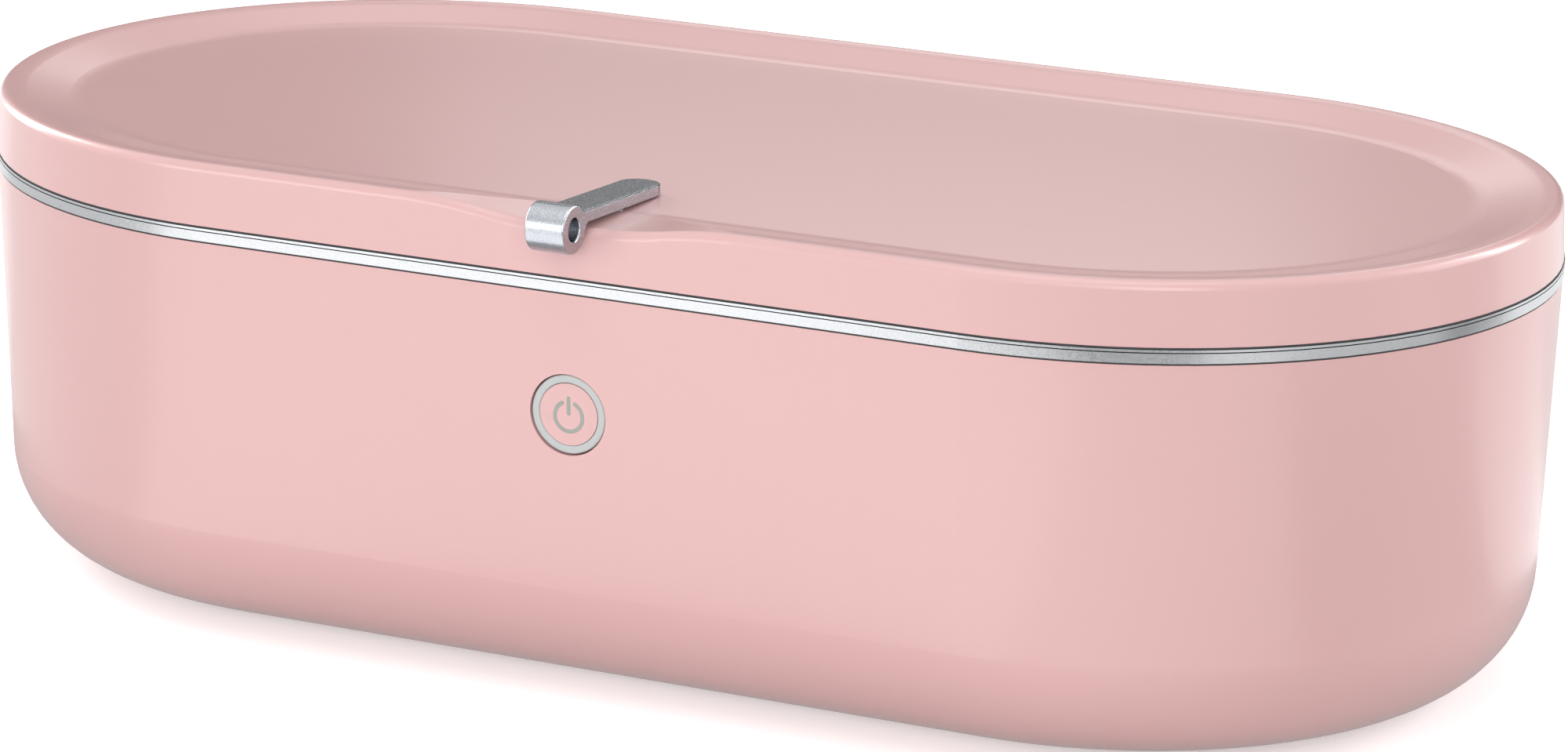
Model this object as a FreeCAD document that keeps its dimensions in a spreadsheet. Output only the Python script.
import FreeCAD, Part
import os
import re
from math import atan2, hypot, pi

import Sketcher
from FreeCAD import Vector

# A UV sterilizer box: a drafted obround tub with a mirror chamber, and a hinged lid.
# Millimetres. X runs along the box, -Y is the front with the button, +Z is up, and the origin lies on
# the ground below the middle of the box. An inset is a distance in from the outline seen from above.

SIZES = {
    # Outline of the box from above, and the heights of its layers from the ground up
    "overall_length": 244,
    "overall_width": 124,
    "foot_height": 0.8,
    "base_height": 60.3,
    "groove_height": 0.3,
    "groove_depth": 0.6,
    "band_height": 1.4,
    "parting_gap": 0.15,
    "lid_edge_height": 0.35,
    "lid_height": 9.05,
    # Moulded shells
    "shell_setback": 0.15,
    "shell_wall": 2.4,
    "base_draft_angle": 2.13,
    "base_round": 17,
    "lid_draft_angle": 2.6,
    "lid_ceiling": 2.0,
    "lid_edge_round": 1.3,
    "rim_crest_inset": 3.4,
    "rim_foot_inset": 12.5,
    "rim_crest_round": 12,
    "rim_foot_round": 14,
    "dish_depth": 1.9,
    "dip_depth": 1.8,
    "dip_half_width": 25,
    "dip_flat_half": 3.5,
    # Silver frame of the base: deck, ledge for the liner, skirt inside the shell, groove for the seal
    "fit_gap": 0.2,
    "skirt_depth": 4.5,
    "skirt_wall": 1.2,
    "ledge_thickness": 1.6,
    "ledge_inner_inset": 10.5,
    "seal_groove_inset": 3.4,
    "seal_groove_width": 2.4,
    "seal_groove_depth": 1.0,
    "seal_side_gap": 0.1,
    "seal_lid_gap": 0.05,
    # Mirror liner of the chamber
    "flange_inset": 6.9,
    "flange_thickness": 1.2,
    "flange_gap": 0.1,
    "chamber_inset": 14,
    "chamber_depth": 48.5,
    "chamber_round": 10,
    "liner_wall": 1.2,
    "liner_floor": 1.5,
    "liner_draft_angle": 3,
    "rib_length": 60,
    "rib_width": 2.4,
    "rib_height": 1.2,
    "rib_span": 132,
    "rib_count": 7,
    # Feet, and the screws above them that clamp shell, frame and liner together
    "foot_along": 72,
    "foot_across": 26,
    "foot_diameter": 14,
    "foot_recess": 1.2,
    "case_boss_diameter": 11,
    "case_boss_height": 4,
    "case_screw_diameter": 3,
    "case_screw_length": 7.8,
    "case_head_diameter": 5.6,
    "case_head_height": 2.2,
    "case_post_diameter": 8,
    "screw_gap": 0.05,
    "head_gap": 0.2,
    # Hinge along the back edge
    "hinge_reach": 3.6,
    "hinge_barrel_diameter": 6.4,
    "hinge_pin_diameter": 3,
    "hinge_pin_gap": 0.05,
    "lid_knuckle_length": 30,
    "base_knuckle_length": 14.6,
    "knuckle_gap": 0.4,
    "lid_neck_height": 1.6,
    "neck_gap": 0.3,
    # Silver frame and mirror of the lid
    "lid_ring_thickness": 1.4,
    "lid_ring_inset": 12,
    "mirror_inset": 7.4,
    "mirror_sheet": 0.8,
    "mirror_rise": 1.85,
    "mirror_wall_inset": 13,
    "mirror_round": 1.6,
    "lid_screw_inset": 9.6,
    "lid_screw_end_inset": 8,
    "lid_screw_diameter": 2,
    "lid_screw_length": 3.4,
    "lid_head_diameter": 4,
    "lid_head_height": 0.7,
    "lid_boss_diameter": 5,
    # Pull tab on the front of the lid
    "tab_width": 6.1,
    "tab_barrel_diameter": 7.0,
    "tab_bore_diameter": 3.4,
    "tab_reach": 3.45,
    "tab_drop": 1.05,
    "tongue_length": 28.6,
    "tongue_root_rise": 2.25,
    "tongue_root_thickness": 1.9,
    "tongue_tip_thickness": 1.7,
    "tongue_tip_round": 3.0,
    "tongue_neck_round": 1.0,
    "tab_edge_round": 0.25,
    "tab_seat_gap": 0.05,
    "stem_diameter": 3,
    "stem_gap": 0.1,
    "stem_from_tip": 4.5,
    "stem_pitch": 6.5,
    "tab_screw_diameter": 1.6,
    "tab_screw_length": 2.4,
    "tab_head_diameter": 3.8,
    "tab_head_height": 1.0,
    # Push button on the front wall, and the switch behind it
    "button_drop": 17.64,
    "button_diameter": 11.6,
    "button_gap": 0.2,
    "button_sunk": 0.2,
    "button_ring_width": 1.2,
    "button_ring_round": 0.3,
    "button_face_thickness": 0.8,
    "button_face_sunk": 0.1,
    "button_face_gap": 0.05,
    "button_flange_diameter": 14.4,
    "button_flange_thickness": 1.0,
    "button_seat_gap": 0.1,
    "plunger_diameter": 3,
    "plunger_gap": 0.15,
    "plunger_length": 1.9,
    "plunger_bottom_gap": 0.7,
    "switch_size": 6,
    "switch_height": 2.3,
    "switch_lead_in": 0.9,
    "switch_board_length": 28,
    "switch_board_height": 18,
    "switch_board_shift": 4,
    "switch_board_thickness": 1.0,
    "switch_post_end_inset": 3.2,
    "switch_post_diameter": 4.4,
    "small_screw_diameter": 2,
    "small_screw_length": 3.4,
    "small_head_diameter": 3.6,
    "small_head_height": 1.2,
    "indicator_size": 1.6,
    "indicator_height": 0.9,
    "indicator_along": 5,
    "indicator_across": 4,
    # Lamp strips behind the two long walls of the chamber
    "strip_drop": 11,
    "slot_length": 92,
    "slot_height": 6,
    "window_length": 96,
    "window_height": 9,
    "window_thickness": 1.2,
    "strip_length": 112,
    "strip_height": 12,
    "spacer_thickness": 1.5,
    "strip_thickness": 1.2,
    "led_size": 3.5,
    "led_height": 0.9,
    "led_pitch": 15,
    "led_count": 6,
    # Control board on the back wall, with the supply socket
    "board_drop": 29,
    "board_length": 92,
    "board_height": 20,
    "board_thickness": 1.6,
    "board_standoff": 5.6,
    "board_post_end_inset": 6,
    "board_post_edge_inset": 3.5,
    "board_post_diameter": 5,
    "usb_width": 9,
    "usb_height": 3.2,
    "usb_recess": 0.7,
    "usb_wall": 0.3,
    "usb_depth": 6.2,
    "usb_tongue_width": 6.7,
    "usb_tongue_height": 0.7,
    "usb_tongue_recess": 0.9,
    "usb_gap": 0.15,
    # Plugs and leads inside the base
    "header_length": 8,
    "header_height": 6,
    "header_depth": 3.4,
    "lead_diameter": 2.2,
    "thin_lead_diameter": 1.6,
    "lead_inset": 6.8,
    "thin_lead_inset": 7.2,
    "lead_bend": 5,
    "lead_end_gap": 0.1,
    "strip_header_along": 22,
    "front_header_along": 30,
    "sensor_along": 20,
    "sensor_inset": 7.2,
    "sensor_length": 10,
    "sensor_depth": 3.6,
    "sensor_height": 2,
    "magnet_diameter": 4,
    "magnet_height": 1.5,
    "magnet_inset": 5,
    "magnet_sunk": 1.0,
    "magnet_gap": 0.05,
    # How far every cut runs past the face that it starts from, and how close two equal measures are
    "cut_overrun": 1,
    "match_gap": 0.0003,
}

# Heights and places that follow from the sizes
PLACES = {
    "base_top": "foot_height + base_height",
    "band_bottom": "base_top + groove_height",
    "band_top": "band_bottom + band_height",
    "lid_frame_bottom": "band_top + parting_gap",
    "lid_bottom": "lid_frame_bottom + lid_edge_height + groove_height",
    "rim_top": "lid_bottom + lid_height",
    "dish_floor": "rim_top - dish_depth",
    "ceiling_bottom": "dish_floor - lid_ceiling",
    "half_width": "overall_width / 2",
    "straight_length": "overall_length - overall_width",
    "shell_inner_inset": "shell_setback + shell_wall",
    "shell_floor_top": "foot_height + shell_wall",
    "skirt_outer_inset": "shell_inner_inset + fit_gap + skirt_depth * tan(base_draft_angle)",
    "ledge_top": "band_top - flange_thickness",
    "ledge_bottom": "ledge_top - ledge_thickness",
    "chamber_floor": "band_top - chamber_depth",
    "liner_bottom": "chamber_floor - liner_floor",
    "foot_top": "foot_height + foot_recess",
    "case_head_top": "foot_top + head_gap + case_head_height",
    "case_boss_top": "shell_floor_top + case_boss_height",
    "hinge_y": "half_width + hinge_reach",
    "hinge_z": "band_top + parting_gap / 2",
    "lid_ring_top": "lid_frame_bottom + lid_ring_thickness",
    "mirror_top": "lid_ring_top + mirror_sheet + mirror_rise",
    "lid_screw_along": "straight_length / 2 - lid_screw_end_inset",
    "tab_y": "half_width + tab_reach",
    "tab_z": "rim_top - tab_drop",
    "tongue_tip_rise": "dish_floor + tab_seat_gap + tongue_tip_thickness - tab_z",
    "wall_depth": "shell_wall * cos(base_draft_angle)",
    "button_y": "half_width - shell_setback - button_drop * tan(base_draft_angle)",
    "flange_front": "wall_depth + button_seat_gap",
    "flange_back": "flange_front + button_flange_thickness",
    "switch_front": "flange_back + switch_lead_in",
    "switch_back": "switch_front + switch_height",
    "switch_post_along": "switch_board_length / 2 - switch_post_end_inset",
    "face_radius": "button_diameter / 2 - button_ring_width",
    "face_front": "button_sunk + button_face_sunk",
    "board_y": "half_width - shell_setback - board_drop * tan(base_draft_angle)",
    "board_front": "wall_depth + board_standoff",
    "board_back": "board_front + board_thickness",
    "board_post_along": "board_length / 2 - board_post_end_inset",
    "board_post_across": "board_height / 2 - board_post_edge_inset",
    "strip_y": "half_width - chamber_inset + liner_wall - strip_drop * tan(liner_draft_angle)",
    "spacer_front": "window_thickness + spacer_thickness",
    "strip_front": "spacer_front + strip_thickness",
    "header_low": "switch_board_height / 2 + switch_board_shift - header_height / 2",
    "front_lead_z": "base_top - board_drop",
    "lead_y": "half_width - lead_inset",
    "thin_lead_y": "half_width - thin_lead_inset",
    "strip_header_lean": "(strip_front + header_depth) * sin(liner_draft_angle)",
    "strip_header_bottom": "band_top - strip_drop - header_height - strip_header_lean",
    "board_header_lean": "board_front * sin(base_draft_angle)",
    "board_header_top": "base_top - board_drop + board_height / 2 + board_header_lean",
}

# Parts on the control board: place along and across it, width and height, as shares of the board,
# and how far each stands off the board, as a share of the standoff
COMPONENT_SHARES = [
    (0.36, 0.00, 0.12, 0.36, 0.30),
    (-0.17, -0.12, 0.07, 0.34, 0.62),
    (0.19, -0.10, 0.08, 0.36, 0.45),
    (0.262, -0.05, 0.05, 0.22, 0.28),
    (-0.12, 0.30, 0.05, 0.16, 0.22),
    (0.10, 0.26, 0.04, 0.20, 0.24),
]
# Where the lamp lead enters the switch board's plug, as a share of the plug's height above its middle
LAMP_LEAD_SHARE = 0.25

TURNS = {
    "x": "rotation(vector(0; 1; 0); 90)",
    "y": "rotation(vector(1; 0; 0); -90)",
    "z": "rotation(vector(0; 0; 1); 0)",
}
HALF_TURN = "placement(vector(0; 0; 0); rotation(vector(0; 0; 1); 180))"

doc = FreeCAD.newDocument("uv_sterilizer_box")
sheet = doc.addObject("Spreadsheet::Sheet", "Sizes")
for row, (alias, size) in enumerate(SIZES.items(), start=1):
    sheet.set(f"A{row}", alias)
    sheet.set(f"B{row}", str(size))
    sheet.setAlias(f"B{row}", alias)
doc.recompute()

nodes = {}


# Expressions

def sized(text):
    """The text as an expression of the document: sizes become cells, places their own sums."""
    def swap(match):
        word = match.group()
        if word in SIZES:
            return f"Sizes.{word}"
        if word in PLACES:
            return f"({sized(PLACES[word])})"
        return word
    return re.sub(r"[a-z][a-z_]*", swap, text)


def value(text):
    """What an expression comes to, as a number."""
    return float(sheet.evalExpression(sized(text)))


def bind(thing, **sizes):
    """Tie properties of an object to expressions."""
    for name, text in sizes.items():
        thing.setExpression(name, sized(text))


def pose(x="0", y="0", z="0", turn="z", frame=None):
    """A placement as an expression, inside a tilted frame where one is given."""
    local = f"placement(vector({x}; {y}; {z}); {TURNS[turn]})"
    return f"{frame} * {local}" if frame else local


def wall_frame(y, z, angle, rear=False):
    """A frame on a drafted wall: its -Y looks out of the wall, its +Y into the box."""
    front = f"placement(vector(0; -({y}); {z}); rotation(vector(1; 0; 0); {angle}))"
    return f"{HALF_TURN} * {front}" if rear else front


BUTTON = wall_frame("button_y", "base_top - button_drop", "base_draft_angle")
BOARD = wall_frame("board_y", "base_top - board_drop", "base_draft_angle", rear=True)
STRIPS = {
    "front": wall_frame("strip_y", "band_top - strip_drop", "liner_draft_angle"),
    "rear": wall_frame("strip_y", "band_top - strip_drop", "liner_draft_angle", rear=True),
}


# Solids from primitives

def cylinder(name, diameter, length, place):
    rod = doc.addObject("Part::Cylinder", name)
    bind(rod, Radius=f"({diameter}) / 2", Height=length, Placement=place)
    return rod


def block(name, length, depth, height, x="0", y="0", z="0", frame=None):
    """A block centred on x and z, reaching from y towards +Y."""
    brick = doc.addObject("Part::Box", name)
    corner = pose(f"{x} - ({length}) / 2", y, f"{z} - ({height}) / 2", frame=frame)
    bind(brick, Length=length, Width=depth, Height=height, Placement=corner)
    return brick


def fuse(name, members):
    joined = doc.addObject("Part::MultiFuse", name)
    joined.Shapes = members
    return joined


def cut(name, base, tools):
    """The base less its tools, which have to take something away."""
    tool = tools[0] if len(tools) == 1 else fuse(f"{name}_tools", tools)
    left = doc.addObject("Part::Cut", name)
    left.Base = base
    left.Tool = tool
    doc.recompute()
    if left.Shape.Volume >= base.Shape.Volume:
        raise RuntimeError(f"{name}: the cut takes nothing away")
    return left


def group(name, members):
    """Separate solids that make one node."""
    bundle = doc.addObject("Part::Compound", name)
    bundle.Links = members
    return bundle


def node(label, thing):
    """Name the object that is a finished sub-part."""
    thing.Label = label
    nodes[label] = thing
    return thing


def screw(name, diameter, length, head_diameter, head_height, x, y, z, turn="z", frame=None, up=True):
    """A screw along Y or Z whose head seats at the given place; the shank points up the axis or down it."""
    def start(shift):
        return pose(x, f"{y} + {shift}", z, turn, frame) if turn == "y" else pose(x, y, f"{z} + {shift}")

    shank = cylinder(f"{name}_shank", diameter, length, start("0" if up else f"-({length})"))
    head = cylinder(f"{name}_head", head_diameter, head_height, start(f"-({head_height})" if up else "0"))
    return fuse(name, [shank, head])


# Bodies from sketches

def plane(body, role):
    return next(part for part in body.Origin.OriginFeatures if part.Role == role)


def sketch_on(body, name, role="XY_Plane", offset="0"):
    sketch = body.newObject("Sketcher::SketchObject", name)
    sketch.AttachmentSupport = [(plane(body, role), "")]
    sketch.MapMode = "FlatFace"
    sketch.setExpression("AttachmentOffset.Base.z", sized(offset))
    return sketch


def measure(sketch, kind, *where, text):
    """Add a constraint whose value is an expression."""
    index = sketch.addConstraint(Sketcher.Constraint(kind, *where, value(text)))
    sketch.setExpression(f"Constraints[{index}]", sized(text))


def obrounds(body, name, height, *insets):
    """A sketch at a height, of obrounds that lie the given distances inside the outline."""
    sketch = sketch_on(body, name, offset=height)
    half = value("straight_length") / 2
    for inset in insets:
        radius_text = f"half_width - ({inset})"
        radius = value(radius_text)
        back = sketch.addGeometry(Part.LineSegment(Vector(-half, radius), Vector(half, radius)))
        right_circle = Part.Circle(Vector(half, 0), Vector(0, 0, 1), radius)
        right = sketch.addGeometry(Part.ArcOfCircle(right_circle, -pi / 2, pi / 2))
        front = sketch.addGeometry(Part.LineSegment(Vector(-half, -radius), Vector(half, -radius)))
        left_circle = Part.Circle(Vector(-half, 0), Vector(0, 0, 1), radius)
        left = sketch.addGeometry(Part.ArcOfCircle(left_circle, pi / 2, 3 * pi / 2))
        sketch.addConstraint([
            Sketcher.Constraint("Tangent", back, 2, right, 2),
            Sketcher.Constraint("Tangent", right, 1, front, 2),
            Sketcher.Constraint("Tangent", front, 1, left, 2),
            Sketcher.Constraint("Tangent", left, 1, back, 1),
            Sketcher.Constraint("Symmetric", right, 3, left, 3, -1, 1),
            Sketcher.Constraint("PointOnObject", right, 3, -1),
            Sketcher.Constraint("Horizontal", back),
        ])
        measure(sketch, "DistanceX", left, 3, right, 3, text="straight_length")
        measure(sketch, "Radius", right, text=radius_text)
    return sketch


def polygon(body, name, role, corners):
    """A closed outline of straight lines, its corners given as pairs of expressions."""
    sketch = sketch_on(body, name, role)
    points = [Vector(value(x), value(y)) for x, y in corners]
    for start, end in zip(points, points[1:] + points[:1]):
        sketch.addGeometry(Part.LineSegment(start, end))
    for index, (x, y) in enumerate(corners):
        before = (index - 1) % len(points)
        sketch.addConstraint(Sketcher.Constraint("Coincident", before, 2, index, 1))
        measure(sketch, "DistanceX", -1, 1, index, 1, text=x)
        measure(sketch, "DistanceY", -1, 1, index, 1, text=y)
    return sketch


def circle(body, name, role, diameter):
    """A circle about the body's origin."""
    sketch = sketch_on(body, name, role)
    ring = sketch.addGeometry(Part.Circle(Vector(), Vector(0, 0, 1), value(diameter) / 2))
    sketch.addConstraint(Sketcher.Constraint("Coincident", ring, 3, -1, 1))
    measure(sketch, "Diameter", ring, text=diameter)
    return sketch


def pad(body, name, sketch, length, down=False, angle=None, both_sides=False):
    """Pull a sketch along its normal; a draft angle narrows it on the way."""
    feature = body.newObject("PartDesign::Pad", name)
    feature.Profile = sketch
    feature.Reversed = down
    if both_sides:
        feature.SideType = "Symmetric"
    bind(feature, Length=length)
    if angle:
        bind(feature, TaperAngle=f"-{angle}")
    doc.recompute()
    return feature


def pocket(body, name, sketch, length, other_way=False, angle=None, both_sides=False):
    """Cut a sketch against its normal, and see that something went."""
    before = body.Shape.Volume
    feature = body.newObject("PartDesign::Pocket", name)
    feature.Profile = sketch
    feature.Reversed = other_way
    if both_sides:
        feature.SideType = "Symmetric"
    bind(feature, Length=length)
    if angle:
        bind(feature, TaperAngle=f"-{angle}")
    doc.recompute()
    if body.Shape.Volume >= before:
        raise RuntimeError(f"{name}: the pocket takes nothing away")
    return feature


def round_off(body, name, radius, chosen):
    """Round the edges of the body's last feature that a test chooses."""
    base = body.Tip
    edges = [f"Edge{index}" for index, edge in enumerate(base.Shape.Edges, start=1) if chosen(edge)]
    feature = body.newObject("PartDesign::Fillet", name)
    feature.Base = (base, edges)
    bind(feature, Radius=radius)
    doc.recompute()
    return feature


def near(first, second):
    """Whether two measures agree to the precision of the model."""
    return abs(first - second) < value("match_gap")


def level(height, inset=None):
    """A test for edges that lie at a height and, where given, inside an inset."""
    z = value(height)

    def test(edge):
        box = edge.BoundBox
        if not (near(box.ZMin, z) and near(box.ZMax, z)):
            return False
        return inset is None or all(inset_of(point) > value(inset) for point in edge.discretize(5))
    return test


def inset_of(point):
    """How far a point lies inside the outline seen from above."""
    past_straight = max(abs(point.x) - value("straight_length") / 2, 0)
    return value("half_width") - hypot(past_straight, point.y)


def new_body(name):
    return doc.addObject("PartDesign::Body", name)


def corners_of(along, across):
    """Four places, mirrored about both middle planes."""
    return [(f"{sx} * {along}", f"{sy} * {across}") for sx in (1, -1) for sy in (1, -1)]


# Base shell

def base_shell():
    """The tub: drafted outer wall, hollow of even wall, bosses, and holes for button, plug and screws."""
    body = new_body("base_tub")
    pad(body, "tub_outside", obrounds(body, "tub_outline", "base_top", "shell_setback"),
        "base_height", down=True, angle="base_draft_angle")
    pocket(body, "tub_hollow", obrounds(body, "hollow_outline", "base_top", "shell_inner_inset"),
           "base_height - shell_wall", angle="base_draft_angle")
    round_off(body, "tub_inner_edge", "base_round - shell_wall", level("shell_floor_top"))
    round_off(body, "tub_lower_edge", "base_round", level("foot_height"))

    added = [body]
    holes = []
    for number, (x, y) in enumerate(corners_of("foot_along", "foot_across"), start=1):
        added.append(cylinder(f"case_boss_{number}", "case_boss_diameter",
                              "case_boss_height + shell_wall / 2",
                              pose(x, y, "foot_height + shell_wall / 2")))
        holes.append(cylinder(f"foot_seat_{number}", "foot_diameter + 2 * fit_gap",
                              "foot_recess + cut_overrun", pose(x, y, "foot_height - cut_overrun")))
        holes.append(cylinder(f"head_seat_{number}", "case_head_diameter + 2 * head_gap",
                              "case_head_top - foot_height", pose(x, y, "foot_height")))
        holes.append(cylinder(f"case_hole_{number}", "case_screw_diameter + 2 * screw_gap",
                              "case_boss_top - foot_height + cut_overrun", pose(x, y, "foot_height")))
    for side in (1, -1):
        x = f"{side} * switch_post_along"
        added.append(cylinder(f"switch_post_{side}", "switch_post_diameter", "switch_back - shell_wall / 2",
                              pose(x, "shell_wall / 2", "0", "y", BUTTON)))
        holes.append(cylinder(f"switch_post_hole_{side}", "small_screw_diameter + 2 * screw_gap",
                              "small_screw_length - switch_board_thickness + head_gap + cut_overrun",
                              pose(x, "switch_back - small_screw_length + switch_board_thickness - head_gap",
                                   "0", "y", BUTTON)))
    for number, (x, z) in enumerate(corners_of("board_post_along", "board_post_across"), start=1):
        added.append(cylinder(f"board_post_{number}", "board_post_diameter", "board_front - shell_wall / 2",
                              pose(x, "shell_wall / 2", z, "y", BOARD)))
        holes.append(cylinder(f"board_post_hole_{number}", "small_screw_diameter + 2 * screw_gap",
                              "small_screw_length - board_thickness + head_gap + cut_overrun",
                              pose(x, "board_front - small_screw_length + board_thickness - head_gap",
                                   z, "y", BOARD)))
    holes.append(cylinder("button_hole", "button_diameter + 2 * button_gap", "wall_depth + 2 * cut_overrun",
                          pose("0", "-cut_overrun", "0", "y", BUTTON)))
    holes.append(slot("usb_hole", "usb_width + 2 * usb_gap", "usb_height + 2 * usb_gap",
                      "wall_depth + 2 * cut_overrun", "-cut_overrun", BOARD))
    node("base_shell", cut("base_shell_cut", fuse("base_shell_solid", added), holes))


def slot(name, width, height, depth, y, frame):
    """A slot with round ends, running into a wall from y."""
    flat = block(f"{name}_flat", f"{width} - ({height})", depth, height, y=y, frame=frame)
    ends = [cylinder(f"{name}_end_{side}", height, depth,
                     pose(f"{side} * (({width}) - ({height})) / 2", y, "0", "y", frame)) for side in (1, -1)]
    return fuse(name, [flat] + ends)


# Silver frame of the base

def knuckle(name, x, length, neck_bottom, neck_height, neck_inset):
    """A hinge barrel along X, on a neck that reaches back to the frame."""
    barrel = cylinder(f"{name}_barrel", "hinge_barrel_diameter", length, pose(x, "hinge_y", "hinge_z", "x"))
    neck = block(f"{name}_neck", length, f"hinge_reach + {neck_inset}", neck_height,
                 x=f"{x} + ({length}) / 2", y=f"half_width - ({neck_inset})",
                 z=f"{neck_bottom} + ({neck_height}) / 2")
    return fuse(name, [barrel, neck])


def hinge_bore(name):
    length = "lid_knuckle_length + 2 * (base_knuckle_length + knuckle_gap)"
    return cylinder(name, "hinge_pin_diameter + 2 * hinge_pin_gap", f"{length} + 2 * cut_overrun",
                    pose(f"-({length}) / 2 - cut_overrun", "hinge_y", "hinge_z", "x"))


def base_frame():
    """The silver band: deck on the tub's edge, skirt inside it, ledge for the liner, two knuckles."""
    body = new_body("base_ring")
    pad(body, "deck", obrounds(body, "deck_outline", "base_top", "0", "flange_inset - flange_gap"),
        "groove_height + band_height")
    pad(body, "ledge", obrounds(body, "ledge_outline", "ledge_bottom", "skirt_outer_inset",
                                "ledge_inner_inset"), "ledge_thickness")
    pad(body, "skirt", obrounds(body, "skirt_outline", "base_top", "skirt_outer_inset",
                                "skirt_outer_inset + skirt_wall"), "skirt_depth", down=True)
    pocket(body, "shadow_groove", obrounds(body, "groove_outline", "base_top", "-cut_overrun",
                                           "groove_depth"), "groove_height", other_way=True)
    pocket(body, "seal_groove", obrounds(body, "seal_groove_outline", "band_top", "seal_groove_inset",
                                         "seal_groove_inset + seal_groove_width"), "seal_groove_depth")
    start = "lid_knuckle_length / 2 + knuckle_gap"
    knuckles = [
        knuckle("right_knuckle", start, "base_knuckle_length", "band_bottom", "band_height", "groove_depth"),
        knuckle("left_knuckle", f"-({start}) - base_knuckle_length", "base_knuckle_length", "band_bottom",
                "band_height", "groove_depth"),
    ]
    solid = fuse("base_frame_solid", [body] + knuckles)
    node("base_frame", cut("base_frame_cut", solid, [hinge_bore("base_bore")]))


def mouth_seal():
    """The soft ring in the groove of the base frame."""
    body = new_body("seal_ring")
    pad(body, "seal", obrounds(body, "seal_outline", "band_top - seal_groove_depth",
                               "seal_groove_inset + seal_side_gap",
                               "seal_groove_inset + seal_groove_width - seal_side_gap"),
        "seal_groove_depth + parting_gap - seal_lid_gap")
    node("mouth_seal", body)


def hinge_pin():
    length = "lid_knuckle_length + 2 * (base_knuckle_length + knuckle_gap)"
    node("hinge_pin", cylinder("hinge_rod", "hinge_pin_diameter", length,
                               pose(f"-({length}) / 2", "hinge_y", "hinge_z", "x")))


# Chamber

def chamber_liner():
    """The mirror tub: flange on the ledge, drafted walls, ribbed floor, lamp slots and screw posts."""
    body = new_body("liner_tub")
    pad(body, "flange", obrounds(body, "flange_outline", "band_top", "flange_inset"), "flange_thickness",
        down=True)
    pad(body, "liner_outside", obrounds(body, "liner_outline", "band_top", "chamber_inset - liner_wall"),
        "chamber_depth + liner_floor", down=True, angle="liner_draft_angle")
    pocket(body, "chamber", obrounds(body, "chamber_outline", "band_top", "chamber_inset"), "chamber_depth",
           angle="liner_draft_angle")
    round_off(body, "chamber_lower_edge", "chamber_round", level("chamber_floor"))
    round_off(body, "liner_lower_edge", "chamber_round + liner_wall", level("liner_bottom"))
    rib = sketch_on(body, "rib_outline", offset="chamber_floor")
    rib_obround(rib)
    first = pad(body, "rib", rib, "rib_height")
    row = body.newObject("PartDesign::LinearPattern", "rib_row")
    row.Originals = [first]
    row.Direction = (rib, ["H_Axis"])
    bind(row, Length="rib_span", Occurrences="rib_count")
    body.Tip = row
    doc.recompute()

    posts = [cylinder(f"case_post_{number}", "case_post_diameter",
                      "chamber_floor - liner_floor / 2 - case_boss_top", pose(x, y, "case_boss_top"))
             for number, (x, y) in enumerate(corners_of("foot_along", "foot_across"), start=1)]
    holes = [cylinder(f"post_hole_{number}", "case_screw_diameter + 2 * screw_gap",
                      "case_head_top + case_screw_length + head_gap - case_boss_top + cut_overrun",
                      pose(x, y, "case_boss_top - cut_overrun"))
             for number, (x, y) in enumerate(corners_of("foot_along", "foot_across"), start=1)]
    for side, frame in STRIPS.items():
        holes.append(block(f"{side}_lamp_slot", "slot_length", "liner_wall + 2 * cut_overrun", "slot_height",
                           y="-cut_overrun", frame=frame))
    node("chamber_liner", cut("chamber_liner_cut", fuse("chamber_liner_solid", [body] + posts), holes))


def rib_obround(sketch):
    """The outline of the first floor rib, round at both ends, across the box."""
    x_text = "-rib_span / 2"
    reach_text = "(rib_length - rib_width) / 2"
    x, reach, radius = value(x_text), value(reach_text), value("rib_width") / 2
    back_circle = Part.Circle(Vector(x, reach), Vector(0, 0, 1), radius)
    front_circle = Part.Circle(Vector(x, -reach), Vector(0, 0, 1), radius)
    right = sketch.addGeometry(Part.LineSegment(Vector(x + radius, -reach), Vector(x + radius, reach)))
    back = sketch.addGeometry(Part.ArcOfCircle(back_circle, 0, pi))
    left = sketch.addGeometry(Part.LineSegment(Vector(x - radius, reach), Vector(x - radius, -reach)))
    front = sketch.addGeometry(Part.ArcOfCircle(front_circle, pi, 2 * pi))
    sketch.addConstraint([
        Sketcher.Constraint("Tangent", right, 2, back, 1),
        Sketcher.Constraint("Tangent", back, 2, left, 1),
        Sketcher.Constraint("Tangent", left, 2, front, 1),
        Sketcher.Constraint("Tangent", front, 2, right, 1),
        Sketcher.Constraint("Vertical", right),
    ])
    measure(sketch, "DistanceX", -1, 1, back, 3, text=x_text)
    measure(sketch, "DistanceY", -1, 1, back, 3, text=reach_text)
    measure(sketch, "DistanceY", -1, 1, front, 3, text=f"-{reach_text}")
    measure(sketch, "Radius", back, text="rib_width / 2")


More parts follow.
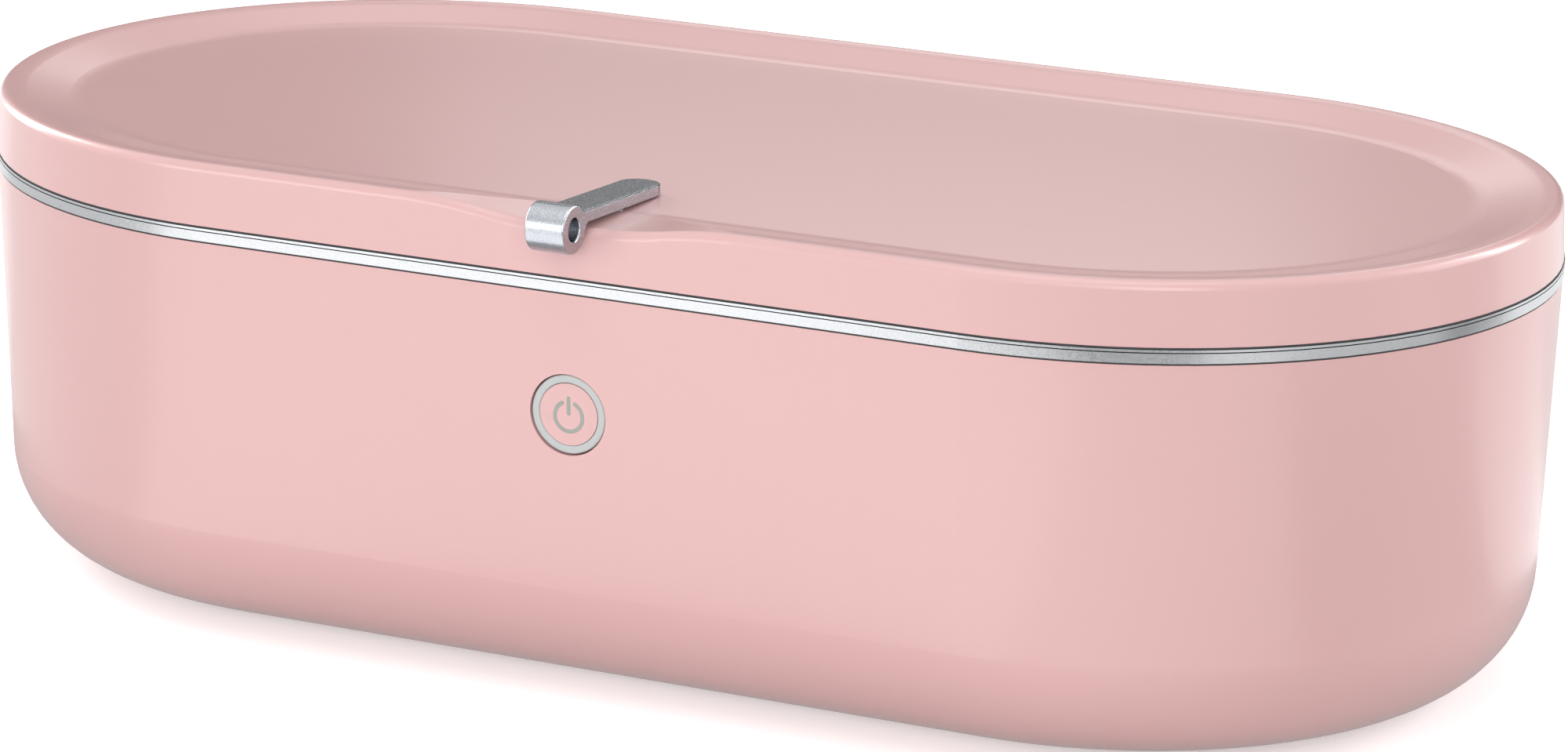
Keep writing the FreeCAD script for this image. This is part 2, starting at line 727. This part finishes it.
def lamp_strip(side):
    """One lamp strip: window on the liner's wall, spacer round it, board with its lamps looking in."""
    frame = STRIPS[side]
    window = block(f"{side}_pane", "window_length", "window_thickness", "window_height",
                   y="-window_thickness", frame=frame)
    node(f"{side}_uv_window", window)
    bar = block(f"{side}_bar", "strip_length", "spacer_front", "strip_height", y="-spacer_front", frame=frame)
    seat = block(f"{side}_pane_seat", "window_length + 2 * seal_side_gap", "window_thickness + cut_overrun",
                 "window_height + 2 * seal_side_gap", y="-window_thickness", frame=frame)
    gap = block(f"{side}_bar_gap", "slot_length", "spacer_front + 2 * cut_overrun", "slot_height",
                y="-spacer_front - cut_overrun", frame=frame)
    node(f"{side}_led_spacer", cut(f"{side}_spacer_cut", bar, [seat, gap]))
    node(f"{side}_led_board", block(f"{side}_strip", "strip_length", "strip_thickness", "strip_height",
                                    y="-strip_front", frame=frame))
    lamps = []
    for number in range(round(value("led_count"))):
        x = f"({number} - (led_count - 1) / 2) * led_pitch"
        lamps.append(block(f"{side}_led_{number}", "led_size", "led_height", "led_size", x=x,
                           y="-spacer_front", frame=frame))
    node(f"{side}_uv_leds", group(f"{side}_led_row", lamps))


# Feet and case screws

def feet_and_screws():
    feet = []
    screws = []
    for number, (x, y) in enumerate(corners_of("foot_along", "foot_across"), start=1):
        feet.append(cylinder(f"foot_{number}", "foot_diameter", "foot_top", pose(x, y)))
        screws.append(screw(f"case_screw_{number}", "case_screw_diameter", "case_screw_length",
                            "case_head_diameter", "case_head_height", x, y, "case_head_top"))
    node("rubber_feet", group("feet", feet))
    node("case_screws", group("case_screw_set", screws))


# Lid

def dip_outline(body):
    """The front dip of the rim, seen from the front: two arcs on each side of a short flat."""
    sketch = sketch_on(body, "dip_outline", "XZ_Plane")
    top, low = "rim_top", "rim_top - dip_depth"
    middle = ("(dip_half_width + dip_flat_half) / 2", "rim_top - dip_depth / 2")
    over = "rim_top + cut_overrun"
    points = [
        ("-dip_half_width", over), ("-dip_half_width", top), (f"-{middle[0]}", middle[1]),
        ("-dip_flat_half", low), ("dip_flat_half", low), middle, ("dip_half_width", top),
        ("dip_half_width", over),
    ]
    spots = [Vector(value(x), value(z)) for x, z in points]
    arcs = {1: 1, 2: 3, 4: 4, 5: 6}
    for index, start in enumerate(spots):
        end = spots[(index + 1) % len(spots)]
        if index not in arcs:
            sketch.addGeometry(Part.LineSegment(start, end))
            continue
        level_end = spots[arcs[index]]
        run, rise = abs(end.x - start.x), abs(end.y - start.y)
        radius = (run * run + rise * rise) / (2 * rise)
        below = radius if level_end.y < value(middle[1]) else -radius
        centre = Vector(level_end.x, level_end.y + below)
        angles = sorted(atan2(spot.y - centre.y, spot.x - centre.x) for spot in (start, end))
        sketch.addGeometry(Part.ArcOfCircle(Part.Circle(centre, Vector(0, 0, 1), radius), *angles))
    count = len(spots)

    def starts_at_point(index):
        """Whether a curve's own first end is the outline's point of the same number."""
        return (sketch.Geometry[index].StartPoint - spots[index]).Length < value("groove_height")

    def end_of(index, far):
        return 2 if starts_at_point(index) == far else 1

    for index, (x, z) in enumerate(points):
        before = (index - 1) % count
        sketch.addConstraint(Sketcher.Constraint("Coincident", before, end_of(before, True), index,
                                                 end_of(index, False)))
        measure(sketch, "DistanceX", -1, 1, index, end_of(index, False), text=x)
        measure(sketch, "DistanceY", -1, 1, index, end_of(index, False), text=z)
    for index, level_point in arcs.items():
        far = level_point != index
        sketch.addConstraint(Sketcher.Constraint("Vertical", index, 3, index, end_of(index, far)))
    return sketch


def on_outer_wall(edge):
    """Whether an edge is the upper border of the lid's drafted outer wall."""
    if edge.BoundBox.ZMin < value("rim_top - dip_depth") - value("groove_height"):
        return False
    slope = value("tan(lid_draft_angle)")
    for point in edge.discretize(5):
        wall = value("shell_setback") + (point.z - value("lid_bottom")) * slope
        if abs(inset_of(point) - wall) > value("fit_gap"):
            return False
    return True


def lid_screw_places():
    """Where the lid's screws stand: two along each side and one at each end."""
    across = "half_width - lid_screw_inset"
    end = "overall_length / 2 - lid_screw_inset"
    return corners_of("lid_screw_along", f"({across})") + [(end, "0"), (f"-({end})", "0")]


def stem_places():
    """The two stems of the pull tab, along its tongue."""
    first = "-tab_y + tongue_length - stem_from_tip"
    return [first, f"{first} - stem_pitch"]


def lid_shell():
    """The lid: drafted wall, sunk top with a soft inner slope, dipped and rounded rim, hollow below."""
    body = new_body("lid_cap")
    pad(body, "lid_outside", obrounds(body, "lid_outline", "lid_bottom", "shell_setback"), "lid_height",
        angle="lid_draft_angle")
    dish = body.newObject("PartDesign::SubtractiveLoft", "dish")
    dish.Profile = obrounds(body, "dish_crest", "rim_top", "rim_crest_inset")
    dish.Sections = [obrounds(body, "dish_foot", "dish_floor", "rim_foot_inset")]
    dish.Ruled = True
    doc.recompute()
    round_off(body, "crest_round", "rim_crest_round", level("rim_top", "rim_crest_inset / 2"))
    round_off(body, "foot_round", "rim_foot_round", level("dish_floor"))
    pocket(body, "dip", dip_outline(body), "half_width + cut_overrun", other_way=True)
    round_off(body, "rim_edge", "lid_edge_round", on_outer_wall)
    pocket(body, "lid_hollow", obrounds(body, "lid_hollow_outline", "lid_bottom", "shell_inner_inset"),
           "ceiling_bottom - lid_bottom", other_way=True)

    mirror_flange_top = "lid_ring_top + mirror_sheet"
    bosses = []
    holes = []
    for number, (x, y) in enumerate(lid_screw_places(), start=1):
        bosses.append(cylinder(f"lid_boss_{number}", "lid_boss_diameter",
                               f"ceiling_bottom + lid_ceiling / 2 - ({mirror_flange_top})",
                               pose(x, y, mirror_flange_top)))
        holes.append(cylinder(f"lid_boss_hole_{number}", "lid_screw_diameter + 2 * screw_gap",
                              "lid_screw_length + head_gap",
                              pose(x, y, "lid_frame_bottom + lid_head_height")))
    for number, y in enumerate(stem_places(), start=1):
        holes.append(cylinder(f"stem_hole_{number}", "stem_diameter + 2 * stem_gap",
                              "lid_ceiling + 2 * cut_overrun",
                              pose("0", y, "ceiling_bottom - cut_overrun")))
    holes.append(block("neck_notch", "lid_knuckle_length + 2 * neck_gap",
                       "shell_inner_inset + 2 * cut_overrun",
                       "lid_frame_bottom + lid_neck_height + neck_gap - lid_bottom + cut_overrun",
                       y="half_width - shell_inner_inset - cut_overrun",
                       z="(lid_frame_bottom + lid_neck_height + neck_gap + lid_bottom - cut_overrun) / 2"))
    node("lid_shell", cut("lid_shell_cut", fuse("lid_shell_solid", [body] + bosses), holes))


def lid_frame():
    """The silver ring under the lid: its edge shows below the lid, its knuckle carries the hinge."""
    body = new_body("lid_ring")
    pad(body, "lid_edge", obrounds(body, "lid_edge_outline", "lid_frame_bottom", "0", "lid_ring_inset"),
        "lid_edge_height + groove_height")
    pad(body, "lid_lip", obrounds(body, "lid_lip_outline", "lid_frame_bottom", "shell_inner_inset + fit_gap",
                                  "lid_ring_inset"), "lid_ring_thickness")
    pocket(body, "lid_groove", obrounds(body, "lid_groove_outline", "lid_bottom", "-cut_overrun",
                                        "groove_depth"), "groove_height")
    middle = knuckle("lid_knuckle", "-lid_knuckle_length / 2", "lid_knuckle_length", "lid_frame_bottom",
                     "lid_neck_height", "shell_inner_inset + fit_gap + groove_depth")
    holes = [hinge_bore("lid_bore")]
    for number, (x, y) in enumerate(lid_screw_places(), start=1):
        holes.append(cylinder(f"lid_head_seat_{number}", "lid_head_diameter + 2 * head_gap",
                              "lid_head_height + cut_overrun", pose(x, y, "lid_frame_bottom - cut_overrun")))
        holes.append(cylinder(f"lid_hole_{number}", "lid_screw_diameter + 2 * screw_gap",
                              "lid_ring_thickness + cut_overrun", pose(x, y, "lid_frame_bottom")))
    holes.append(cylinder("magnet_seat", "magnet_diameter + 2 * magnet_gap", "magnet_sunk + cut_overrun",
                          pose("sensor_along", "half_width - magnet_inset", "lid_ring_top - magnet_sunk")))
    node("lid_frame", cut("lid_frame_cut", fuse("lid_frame_solid", [body, middle]), holes))
    seat = pose("sensor_along", "half_width - magnet_inset", "lid_ring_top - magnet_sunk")
    node("sensor_magnet", cylinder("magnet_disc", "magnet_diameter", "magnet_height", seat))


def lid_mirror():
    """The reflector in the lid: a flat flange on the ring, and a shallow raised tray."""
    body = new_body("mirror_tray")
    pad(body, "mirror_flange", obrounds(body, "mirror_outline", "lid_ring_top", "mirror_inset"),
        "mirror_sheet")
    pad(body, "mirror_tray_outside", obrounds(body, "tray_outline", "lid_ring_top", "mirror_wall_inset"),
        "mirror_sheet + mirror_rise")
    pocket(body, "tray_hollow", obrounds(body, "tray_hollow_outline", "lid_ring_top",
                                         "mirror_wall_inset + mirror_sheet"), "mirror_rise", other_way=True)
    round_off(body, "tray_inner_edge", "mirror_round - mirror_sheet", level("mirror_top - mirror_sheet"))
    round_off(body, "tray_edge", "mirror_round", level("mirror_top"))
    holes = [cylinder(f"mirror_hole_{number}", "lid_screw_diameter + 2 * screw_gap",
                      "mirror_sheet + 2 * cut_overrun", pose(x, y, "lid_ring_top - cut_overrun"))
             for number, (x, y) in enumerate(lid_screw_places(), start=1)]
    node("lid_mirror", cut("lid_mirror_cut", body, holes))
    screws = [screw(f"lid_screw_{number}", "lid_screw_diameter", "lid_screw_length", "lid_head_diameter",
                    "lid_head_height", x, y, "lid_frame_bottom + lid_head_height")
              for number, (x, y) in enumerate(lid_screw_places(), start=1)]
    node("lid_screws", group("lid_screw_set", screws))


def pull_tab():
    """The tab: barrel with a cross hole, tongue that slopes down onto the lid, two stems through it."""
    body = new_body("tab_body")
    bind(body, Placement=pose("0", "-tab_y", "tab_z"))
    pad(body, "tab_barrel", circle(body, "barrel_outline", "YZ_Plane", "tab_barrel_diameter"), "tab_width",
        both_sides=True)
    pad(body, "tongue", polygon(body, "tongue_outline", "YZ_Plane", [
        ("0", "tongue_root_rise"),
        ("tongue_length", "tongue_tip_rise"),
        ("tongue_length", "tongue_tip_rise - tongue_tip_thickness"),
        ("0", "tongue_root_rise - tongue_root_thickness"),
    ]), "tab_width", both_sides=True)
    tip = value("tongue_length")
    barrel = value("tab_barrel_diameter") / 2

    def tip_corner(edge):
        box = edge.BoundBox
        return near(box.YMin, tip) and near(box.XLength, 0)

    def neck(edge):
        box = edge.BoundBox
        return near(box.YLength, 0) and near(box.XLength, value("tab_width")) and 0 < box.YMin < barrel

    def side_rim(edge):
        return near(edge.BoundBox.XLength, 0) and near(abs(edge.BoundBox.XMin), value("tab_width / 2"))

    round_off(body, "neck_round", "tongue_neck_round", neck)
    round_off(body, "tip_round", "tongue_tip_round", tip_corner)
    pocket(body, "tab_bore", circle(body, "bore_outline", "YZ_Plane", "tab_bore_diameter"),
           "tab_width + 2 * cut_overrun", both_sides=True)
    round_off(body, "tab_edges", "tab_edge_round", side_rim)

    added = [body]
    holes = []
    screws = []
    for number, y in enumerate(stem_places(), start=1):
        added.append(cylinder(f"stem_{number}", "stem_diameter",
                              "lid_ceiling + tab_seat_gap + tongue_tip_thickness / 2",
                              pose("0", y, "ceiling_bottom")))
        holes.append(cylinder(f"stem_pilot_{number}", "tab_screw_diameter + 2 * screw_gap",
                              "tab_screw_length + head_gap + cut_overrun",
                              pose("0", y, "ceiling_bottom - cut_overrun")))
        screws.append(screw(f"tab_screw_{number}", "tab_screw_diameter", "tab_screw_length",
                            "tab_head_diameter", "tab_head_height", "0", y, "ceiling_bottom"))
    node("pull_tab", cut("pull_tab_cut", fuse("pull_tab_solid", added), holes))
    node("tab_screws", group("tab_screw_set", screws))


# Button and switch

def button():
    """The push button: a clear ring with a flange behind the wall, a face in its recess, a plunger."""
    body = new_body("button_body")
    bind(body, Placement=BUTTON)
    seat = "face_front + button_face_thickness"
    profile = polygon(body, "ring_profile", "YZ_Plane", [
        ("button_sunk", "face_radius"),
        ("button_sunk", "button_diameter / 2"),
        ("flange_front", "button_diameter / 2"),
        ("flange_front", "button_flange_diameter / 2"),
        ("flange_back", "button_flange_diameter / 2"),
        ("flange_back", "0"),
        (seat, "0"),
        (seat, "face_radius"),
    ])
    turned = body.newObject("PartDesign::Revolution", "ring")
    turned.Profile = profile
    turned.ReferenceAxis = (profile, ["H_Axis"])
    turned.Angle = 360
    doc.recompute()
    front = value("button_sunk")
    round_off(body, "ring_round", "button_ring_round",
              lambda edge: near(edge.BoundBox.YMin, front) and near(edge.BoundBox.YMax, front))
    node("button_ring", body)
    node("button_face", cylinder("face_disc", "2 * (face_radius - button_face_gap)", "button_face_thickness",
                                 pose("0", "face_front", "0", "y", BUTTON)))
    node("switch_plunger", cylinder("plunger_rod", "plunger_diameter", "plunger_length",
                                    pose("0", "flange_back", "0", "y", BUTTON)))


def switch():
    """The switch behind the button, on its own small board with four indicator lamps and two screws."""
    case = block("switch_case", "switch_size", "switch_height", "switch_size", y="switch_front", frame=BUTTON)
    well = cylinder("plunger_well", "plunger_diameter + 2 * plunger_gap",
                    "switch_height - plunger_bottom_gap + cut_overrun",
                    pose("0", "switch_front - cut_overrun", "0", "y", BUTTON))
    node("switch_body", cut("switch_case_cut", case, [well]))
    plate = block("switch_plate", "switch_board_length", "switch_board_thickness", "switch_board_height",
                  y="switch_back", z="-switch_board_shift", frame=BUTTON)
    holes = []
    screws = []
    for side in (1, -1):
        x = f"{side} * switch_post_along"
        holes.append(cylinder(f"switch_plate_hole_{side}", "small_screw_diameter + 2 * screw_gap",
                              "switch_board_thickness + 2 * cut_overrun",
                              pose(x, "switch_back - cut_overrun", "0", "y", BUTTON)))
        screws.append(screw(f"switch_screw_{side}", "small_screw_diameter", "small_screw_length",
                            "small_head_diameter", "small_head_height", x,
                            "switch_back + switch_board_thickness", "0", "y", BUTTON, up=False))
    node("switch_board", cut("switch_plate_cut", plate, holes))
    node("switch_screws", group("switch_screw_set", screws))
    lamps = [block(f"indicator_{number}", "indicator_size", "indicator_height", "indicator_size", x=x,
                   y="switch_back - indicator_height", z=z, frame=BUTTON)
             for number, (x, z) in enumerate(corners_of("indicator_along", "indicator_across"), start=1)]
    node("indicator_leds", group("indicator_set", lamps))


# Control board and supply socket

def control_board():
    plate = block("control_plate", "board_length", "board_thickness", "board_height", y="board_front",
                  frame=BOARD)
    holes = []
    screws = []
    for number, (x, z) in enumerate(corners_of("board_post_along", "board_post_across"), start=1):
        holes.append(cylinder(f"control_hole_{number}", "small_screw_diameter + 2 * screw_gap",
                              "board_thickness + 2 * cut_overrun",
                              pose(x, "board_front - cut_overrun", z, "y", BOARD)))
        screws.append(screw(f"board_screw_{number}", "small_screw_diameter", "small_screw_length",
                            "small_head_diameter", "small_head_height", x, "board_back", z, "y", BOARD,
                            up=False))
    node("control_board", cut("control_plate_cut", plate, holes))
    node("board_screws", group("board_screw_set", screws))
    chips = []
    for number, (x, z, length, height, depth) in enumerate(COMPONENT_SHARES, start=1):
        chips.append(block(f"component_{number}", f"{length} * board_length", f"{depth} * board_standoff",
                           f"{height} * board_height", x=f"{x} * board_length",
                           y=f"board_front - {depth} * board_standoff", z=f"{z} * board_height", frame=BOARD))
    node("board_components", group("component_set", chips))


def usb_socket():
    """The supply socket: a round-ended metal sleeve, open to the back, with the contact tongue inside."""
    depth = "board_front - usb_recess"
    sleeve = slot("usb_sleeve", "usb_width", "usb_height", depth, "usb_recess", BOARD)
    mouth = slot("usb_mouth", "usb_width - 2 * usb_wall", "usb_height - 2 * usb_wall",
                 "usb_depth + cut_overrun", "usb_recess - cut_overrun", BOARD)
    hollow = cut("usb_hollow", sleeve, [mouth])
    tongue = block("usb_tongue", "usb_tongue_width", "usb_depth - usb_tongue_recess + usb_wall",
                   "usb_tongue_height", y="usb_recess + usb_tongue_recess", frame=BOARD)
    node("usb_socket", fuse("usb_socket_solid", [hollow, tongue]))


# Wiring inside the base

def wiring():
    """Plugs on the boards, and the four leads between them, all inside the base."""
    top = "board_height / 2 - header_height / 2"
    on_board = [("-front_header_along", "0"), ("strip_header_along", top), ("-sensor_along", top)]
    headers = [block(f"board_header_{number}", "header_length", "header_depth", "header_height", x=x,
                     y="board_front - header_depth", z=z, frame=BOARD)
               for number, (x, z) in enumerate(on_board, start=1)]
    headers.append(block("switch_header", "header_length", "header_depth", "header_height",
                         x="switch_board_length / 2 - header_length / 2", y="switch_back - header_depth",
                         z="-header_low", frame=BUTTON))
    for side, frame in STRIPS.items():
        headers.append(block(f"{side}_strip_header", "header_length", "header_depth", "header_height",
                             x="strip_header_along", y="-strip_front - header_depth", z="-header_height / 2",
                             frame=frame))
    node("wire_headers", group("header_set", headers))

    bend_x = "straight_length / 2"
    start = "front_header_along + header_length / 2 + lead_end_gap"
    finish = "switch_board_length / 2 + lead_end_gap"
    runs = [
        cylinder("lead_rear_run", "lead_diameter", f"{bend_x} - ({start})",
                 pose(start, "lead_y", "front_lead_z", "x")),
        elbow("lead_end_bend", "lead_diameter", "lead_y", pose(bend_x, "0", "front_lead_z"), "180", "-90"),
        cylinder("lead_front_run", "lead_diameter", f"{bend_x} - ({finish})",
                 pose(finish, "-(lead_y)", "front_lead_z", "x")),
    ]
    node("front_lead", fuse("front_lead_run", runs))

    upper = f"base_top - button_drop - header_low + {LAMP_LEAD_SHARE} * header_height"
    drop_top = "strip_header_bottom - lead_end_gap"
    runs = [
        cylinder("strip_lead_drop", "thin_lead_diameter", f"{drop_top} - ({upper}) - lead_bend",
                 pose("strip_header_along", "-(thin_lead_y)", f"{upper} + lead_bend")),
        elbow("strip_lead_bend", "thin_lead_diameter", "lead_bend",
              f"placement(vector(strip_header_along - lead_bend; -(thin_lead_y); {upper} + lead_bend); "
              "rotation(vector(1; 0; 0); 90))", "90", "-90"),
        cylinder("strip_lead_run", "thin_lead_diameter", f"strip_header_along - lead_bend - ({finish})",
                 pose(finish, "-(thin_lead_y)", upper, "x")),
    ]
    node("front_led_lead", fuse("front_led_lead_run", runs))
    lead_start = pose("-strip_header_along", "thin_lead_y", "board_header_top + lead_end_gap")
    node("rear_led_lead", cylinder("rear_strip_lead", "thin_lead_diameter",
                                   "strip_header_bottom - board_header_top - 2 * lead_end_gap", lead_start))
    node("sensor_lead", cylinder("sensor_drop", "thin_lead_diameter",
                                 "ledge_bottom - sensor_height - board_header_top - lead_end_gap",
                                 pose("sensor_along", "thin_lead_y", "board_header_top + lead_end_gap")))
    node("lid_sensor", block("sensor_case", "sensor_length", "sensor_depth", "sensor_height",
                             x="sensor_along", y="half_width - sensor_inset - sensor_depth / 2",
                             z="ledge_bottom - sensor_height / 2"))


def elbow(name, diameter, radius, place, sweep, turned):
    """A bend of a lead: part of a ring about the place's own Z, first turned about it."""
    ring = doc.addObject("Part::Torus", name)
    turn = f"placement(vector(0; 0; 0); rotation(vector(0; 0; 1); {turned}))"
    bind(ring, Radius1=radius, Radius2=f"({diameter}) / 2", Angle3=sweep, Placement=f"{place} * {turn}")
    return ring


base_shell()
base_frame()
mouth_seal()
hinge_pin()
chamber_liner()
for side in STRIPS:
    lamp_strip(side)
feet_and_screws()
lid_shell()
lid_frame()
lid_mirror()
pull_tab()
button()
switch()
control_board()
usb_socket()
wiring()
doc.recompute()

for thing in doc.Objects:
    if "Invalid" in thing.State or "Error" in thing.State:
        raise RuntimeError(f"{thing.Label} failed: {thing.State}")
for label, thing in nodes.items():
    if thing.Shape.isNull() or not thing.Shape.isValid() or not thing.Shape.Solids:
        raise RuntimeError(f"{label} has no sound solid")

os.makedirs("parts", exist_ok=True)
for label, thing in nodes.items():
    thing.Shape.exportStep(f"parts/{label}.step")
    box = thing.Shape.BoundBox
    print(f"{label}: {len(thing.Shape.Solids)} solids, {thing.Shape.Volume:.1f} mm3, "
          f"z {box.ZMin:.2f} to {box.ZMax:.2f}")
print(len(nodes), "nodes")
